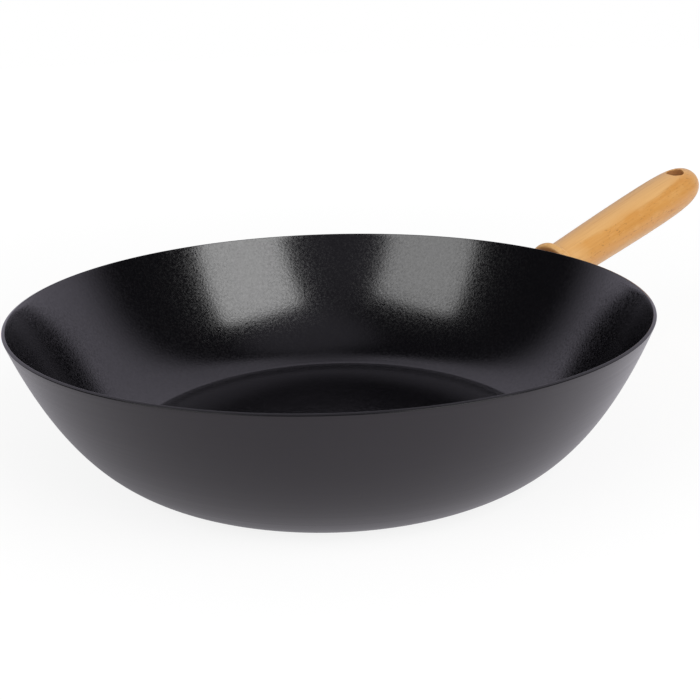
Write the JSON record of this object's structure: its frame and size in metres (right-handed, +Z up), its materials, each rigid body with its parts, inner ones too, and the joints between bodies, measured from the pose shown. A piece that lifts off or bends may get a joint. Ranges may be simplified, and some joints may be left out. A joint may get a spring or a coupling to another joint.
{
  "type": "wok",
  "caption": "Flat-based wok: a black coated sheet-steel bowl with flaring walls and a turned beech stick handle on a welded bracket, with a hanging hole.",
  "frame": {"origin": "middle of the flat base's underside, on the bowl's axis", "axes": "+Z up along the bowl's axis, +X towards the handle"},
  "size_m": [0.5265, 0.35, 0.1185],
  "materials": {
    "bowl_coating": "black non-stick coating, fine orange peel inside, matte outside",
    "bracket_steel": "matte black, as the outside of the bowl",
    "beech": "clear satin lacquer over straight-grained beech",
    "zinc_steel": "zinc-plated fasteners"
  },
  "bodies": {
    "root": {"bowl": "bowl_coating", "handle_bracket": "bracket_steel", "handle_grip": "beech", "threaded_insert": "zinc_steel", "handle_bolt": "zinc_steel", "lock_washer": "zinc_steel"}
  },
  "joints": []
}
